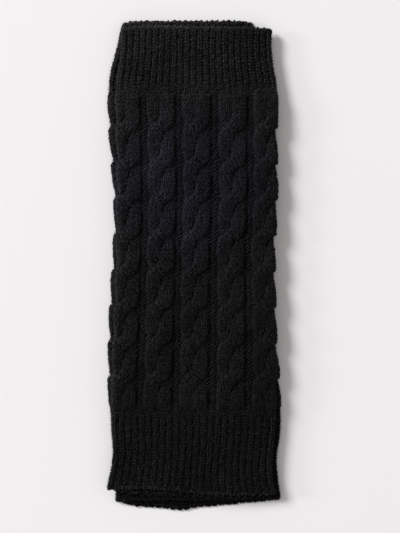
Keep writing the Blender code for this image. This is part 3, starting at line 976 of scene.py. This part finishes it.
def rib_plan(garment, stretch, knit, phase, height, size):
    """Places along the ribs, or along the furrows between them, of one cuff."""
    def height_at(y):
        on_cuff = (y - stretch.start) * stretch.way > 0.0
        return np.where(on_cuff, from_join(height, RIB_FADE, y), ground_height(y))

    plan = []
    chance = np.random.default_rng(RIBS_EACH_SIDE)
    for rib in range(-RIBS_EACH_SIDE, RIBS_EACH_SIDE):
        turn = (rib + phase) * RIB_TURN
        end = float(end_of(garment, stretch, np.array([turn]))[0])
        count = int(abs(end - stretch.start) / knit.rib_row)
        share = (np.arange(-RIB_OVERLAP, count - 1) + 0.5 + knit.row_shift * (chance.random() - 0.5)) / count
        rows = stretch.start + (end - stretch.start) * share
        surface = relief_surface(garment, turn, height_at)
        across = np.zeros(rows.shape)
        plan.append(lie_on(surface, across, rows, size, shown(garment, surface(across, rows))))
    return plan


def inner_rib_plan(garment, stretch, knit, phase, size):
    """Places along the ribs of the back layer's inner face, where it shows past the front one."""
    plan = []
    for rib in range(RIBS_EACH_SIDE, RIBS_EACH_SIDE + BACK_RIBS):
        turn = np.array([(rib + phase) * RIB_TURN])

        def surface(across, y):
            return wall_point(garment, turn + across / width_at(garment, y), y, -WALL - INNER_HEIGHT)

        end = hem_reach(garment, stretch.hem, turn)[0]
        front = read_rows(stretch.hem, "across", "front", hem_across(garment, stretch.hem, turn))[0]
        count = max(int((end - front) * stretch.way / knit.rib_row) + INNER_OVERLAP, INNER_LEAST)
        rows = end - stretch.way * knit.rib_row * (np.arange(count) + 0.5)
        plan.append(lie_on(surface, np.zeros(count), rows, size, np.ones(count, bool), -1.0))
    return plan


def edge_plan(garment, stretch, knit):
    """The bound-off chain round a cuff's open edge."""
    count = 4 * round(WHOLE_TURN / RIB_TURN / 2.0)
    chance = np.random.default_rng(count)
    on_rib = np.arange(count) % 2
    turns = WHOLE_TURN * (np.arange(count) / count - 0.25)

    def rim(turn):
        turn = np.where(turn > 1.0, turn - WHOLE_TURN, turn)
        return wall_point(garment, turn, hem_reach(garment, stretch.hem, turn), -WALL / 2.0)

    places = rim(turns)
    along = unit(rim(turns + RIM_STEP) - rim(turns - RIM_STEP))
    wave = knit.edge_wave * (on_rib - 0.5 + chance.uniform(-0.3, 0.3, count))
    places[:, 1] += stretch.way * (EDGE_OUT + wave)
    places[:, 2] += EDGE_LIFT
    # The chain leans 31 degrees outwards, and its loops are larger where a rib ends
    outward = unit(np.tile((0.0, 0.6 * stretch.way, 1.0), (count, 1)))
    return [(places, along, outward, np.outer(0.9 + 0.15 * on_rib, EDGE_SIZE))]


def dress(piece):
    """What every piece of a stretch says: its body."""
    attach(piece, "root")
    return piece


def lay_on(stretch, piece):
    """Add a piece to those that lie on the wall of a stretch."""
    LAID.setdefault(stretch.name, []).append(dress(piece))


def stitch_piece(stretch, name, plan, stitch, seed, material, lumps=1.0):
    """Lay one piece of stitches on a stretch, from its plan."""
    knit = bpy.context.scene.leg_warmer_knit
    values = {
        "Stitch": stitch,
        "Unevenness": knit.unevenness * lumps,
        "Wander": knit.wander,
        "Tilt": knit.tilt,
        "Seed": seed,
    }
    tree = made_once("stitches", stitch_tree)
    lay_on(stretch, grown(name, planned_points(name, plan), tree, values, material))


class LEGWARMER_OT_knitted_walls(bpy.types.Operator):
    """Make the closed walls of both tubes, which stand for the solids"""

    bl_idname = "legwarmer.knitted_walls"
    bl_label = "Knitted Walls"

    def execute(self, context):
        for garment in GARMENTS:
            for stretch in stretches(garment):
                WALLS[stretch.name] = knitted_wall(garment, stretch, context.scene.leg_warmer_knit)
                wall = dress(WALLS[stretch.name][0])
                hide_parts(stretch.name)
        return {"FINISHED"}


class LEGWARMER_OT_cable_stitches(bpy.types.Operator):
    """Knit the stitches of the cables and the purl bars between them"""

    bl_idname = "legwarmer.cable_stitches"
    bl_label = "Cable Stitches"

    def execute(self, context):
        knit = context.scene.leg_warmer_knit
        stitch = made_once("knit_stitch", knit_stitch, "knit_stitch", knit.wale, knit.row, 1.0)
        bar = made_once("purl_bar", purl_bar, knit.purl_length, knit.purl_slant, knit.wale * PURL_THICKNESS)
        for seed, garment in enumerate(GARMENTS):
            for label, plan, shape, material in (
                ("_cable_stitches", strand_stitches(garment, knit), stitch, "brushed_black_wool"),
                ("_purl_bars", ground_bars(garment, knit), bar, "unbrushed_black_wool"),
            ):
                # Nothing of the lower tube's purl ground shows
                if any(len(places) for places, *_ in plan):
                    leg = stretches(garment)[1]
                    stitch_piece(leg, garment.name + label, plan, shape, seed, wool(material))
        return {"FINISHED"}


class LEGWARMER_OT_cuff_stitches(bpy.types.Operator):
    """Knit the ribs of the cuffs, their furrows and their bound-off edges"""

    bl_idname = "legwarmer.cuff_stitches"
    bl_label = "Cuff Stitches"

    def execute(self, context):
        knit = context.scene.leg_warmer_knit
        stitch = made_once("rib_stitch", knit_stitch, "rib_stitch", knit.wale, knit.row, RIB_FULLNESS)
        bump = made_once("rib_bump", purl_bar, *(knit.wale * share for share in RIB_BUMP))
        tall = knit.rib_row / knit.row
        # Ribs inside a tube's mouth are painted nearly black, as painted shade in its hollow
        inner = wool("inner_black_wool")
        for seed, garment in enumerate(GARMENTS, CUFF_SEED):
            for stretch in (stretches(garment)[0], stretches(garment)[2]):
                # The lower tube's bottom cuff lies in the upper tube's shadow: its ribs and edge get painted
                # shadow
                deep = garment.covered and stretch.way < 0
                cuff = wool("shaded_black_wool" if deep else "cuff_black_wool")
                # Other bound-off edges are painted paler, as a painted highlight along the hem
                edge = wool("shaded_black_wool" if deep else "edge_black_wool")
                given = (garment, stretch, knit)
                # A rib's middle is half a rib past the furrow's. Sizes: across, along and outwards
                for label, plan, shape, material in (
                    ("_ribs", rib_plan(*given, 0.5, RIB_HEIGHT, (RIB_BREADTH, tall, 1.0)), stitch, cuff),
                    ("_inner_ribs", inner_rib_plan(*given, 0.0, (RIB_BREADTH, tall, 0.8)), stitch, inner),
                    ("_inner_furrows", inner_rib_plan(*given, 0.5, (1.0, 1.0, 0.6)), bump, inner),
                    ("_furrows", rib_plan(*given, 0.0, FURROW_HEIGHT, (1.0, 1.0, 1.0)), bump, cuff),
                    ("_edge", edge_plan(*given), stitch, edge),
                ):
                    lumps = EDGE_LUMPS if label == "_edge" else CUFF_LUMPS
                    stitch_piece(stretch, stretch.name + label, plan, shape, seed, material, lumps)
        return {"FINISHED"}


class LEGWARMER_OT_wool_nap(bpy.types.Operator):
    """Strew the loose fibres of the nap over every wall"""

    bl_idname = "legwarmer.wool_nap"
    bl_label = "Wool Nap"

    def execute(self, context):
        nap = context.scene.leg_warmer_nap
        fibre = loose_fibre(nap.length, nap.thickness)
        lint = loose_fibre(nap.lint_length, nap.thickness * 2.0)
        tree = nap_tree()
        upper_leg = stretches(UPPER)[1]
        strewn = [
            (stretch, "_nap", fibre, nap.density, seed, "loose_black_wool")
            for seed, garment in enumerate(GARMENTS, nap.seed) for stretch in stretches(garment)
        ]
        strewn.append((upper_leg, "_lint", lint, nap.lint_density, nap.seed, "grey_lint"))
        for stretch, label, shape, density, seed, material in strewn:
            values = {"Fibre": shape, "Density": density, "Seed": seed}
            wall = WALLS[stretch.name][0]
            lay_on(stretch, grown(stretch.name + label, wall.data, tree, values, wool(material)))
        bpy.data.objects.remove(fibre)
        bpy.data.objects.remove(lint)
        return {"FINISHED"}


class LEGWARMER_OT_declare_cloth(bpy.types.Operator):
    """Remove the helper objects that the stitches, bars and bumps were grown from"""

    bl_idname = "legwarmer.declare_cloth"
    bl_label = "Declare Cloth"

    def execute(self, context):
        for helper in ("knit_stitch", "rib_stitch", "purl_bar", "rib_bump"):
            bpy.data.objects.remove(MADE.pop(helper))
        return {"FINISHED"}


class LEGWARMER_OT_stage(bpy.types.Operator):
    """Set the pale floor, the soft studio light and the camera straight above"""

    bl_idname = "legwarmer.stage"
    bl_label = "Stage"

    def execute(self, context):
        work = bmesh.new()
        bmesh.ops.create_grid(work, x_segments=8, y_segments=8, size=2.0)
        mesh = bpy.data.meshes.new("studio_floor")
        work.to_mesh(mesh)
        work.free()
        floor = link_object("studio_floor", mesh)
        mesh.materials.append(paper_material("seamless_paper", context.scene.leg_warmer_colours.floor))
        add_lights(context.scene)
        add_camera(context.scene)
        return {"FINISHED"}


# Name, place, size in metres and power in watts
LIGHTS = (
    ("key_light", (-7.05, 4.95, 6.6), 3.9, 1010.0),
    ("low_light", (-7.2, 0.9, 2.85), 1.6, 135.0),
)
LIGHT_COLOUR = (0.985, 0.99, 1.0)
ROOM_COLOUR = (1.0, 0.975, 0.97, 1.0)
ROOM_STRENGTH = 0.45
# So high that one pixel is 0.8 mm on the knit, 10 mm over the floor
CAMERA_AT = (0.0047, -0.00105, 1.1944)


def add_lights(scene):
    """A soft key from the upper left, a low light that rakes the knit, and an even white room."""
    world = bpy.data.worlds.new("white_room")
    world.use_nodes = True
    background = world.node_tree.nodes["Background"].inputs
    background["Color"].default_value = ROOM_COLOUR
    background["Strength"].default_value = ROOM_STRENGTH
    scene.world = world
    for name, place, size, energy in LIGHTS:
        light = bpy.data.lights.new(name, "AREA")
        light.shape = "DISK"
        light.size = size
        light.energy = energy
        light.color = LIGHT_COLOUR
        lamp = link_object(name, light)
        lamp.location = place
        lamp.rotation_euler = (-Vector(place)).to_track_quat("-Z", "Y").to_euler()


def add_camera(scene):
    """Straight above, made for the frame of the photo: 400 by 533, its long side upright."""
    camera = bpy.data.cameras.new("photo_camera")
    camera.lens = 100.0
    camera.sensor_width = 36.0
    camera.clip_start = 0.05
    camera.clip_end = 10.0
    scene.camera = link_object("photo_camera", camera)
    scene.camera.location = CAMERA_AT
    scene.view_settings.view_transform = "Standard"


STEPS = (
    LEGWARMER_OT_stage,
    LEGWARMER_OT_knitted_walls,
    LEGWARMER_OT_cable_stitches,
    LEGWARMER_OT_cuff_stitches,
    LEGWARMER_OT_wool_nap,
    LEGWARMER_OT_declare_cloth,
)


class LEGWARMER_PT_sidebar(bpy.types.Panel):
    """Sizes, colours and the steps in order"""

    bl_idname = "LEGWARMER_PT_sidebar"
    bl_label = "Leg Warmers"
    bl_space_type = "VIEW_3D"
    bl_region_type = "UI"
    bl_category = "Leg Warmers"

    def draw(self, context):
        scene = context.scene
        for group in (scene.leg_warmer_knit, scene.leg_warmer_nap, scene.leg_warmer_colours):
            box = self.layout.box()
            for label in group.bl_rna.properties.keys():
                if label not in ("rna_type", "name"):
                    box.prop(group, label)
        for step in STEPS:
            self.layout.operator(step.bl_idname)


GROUPS = (
    ("leg_warmer_knit", LegWarmerKnit),
    ("leg_warmer_nap", LegWarmerNap),
    ("leg_warmer_colours", LegWarmerColours),
)


def register():
    for name, group in GROUPS:
        bpy.utils.register_class(group)
        setattr(bpy.types.Scene, name, PointerProperty(type=group))
    for step in (*STEPS, LEGWARMER_PT_sidebar):
        bpy.utils.register_class(step)


def unregister():
    for step in (*STEPS, LEGWARMER_PT_sidebar):
        bpy.utils.unregister_class(step)
    for name, group in GROUPS:
        delattr(bpy.types.Scene, name)
        bpy.utils.unregister_class(group)


def main():
    """Make everything in order."""
    register()
    bpy.ops.legwarmer.stage()
    bpy.ops.legwarmer.knitted_walls()
    bpy.ops.legwarmer.cable_stitches()
    bpy.ops.legwarmer.cuff_stitches()
    bpy.ops.legwarmer.wool_nap()
    bpy.ops.legwarmer.declare_cloth()


if __name__ == "__main__":
    main()
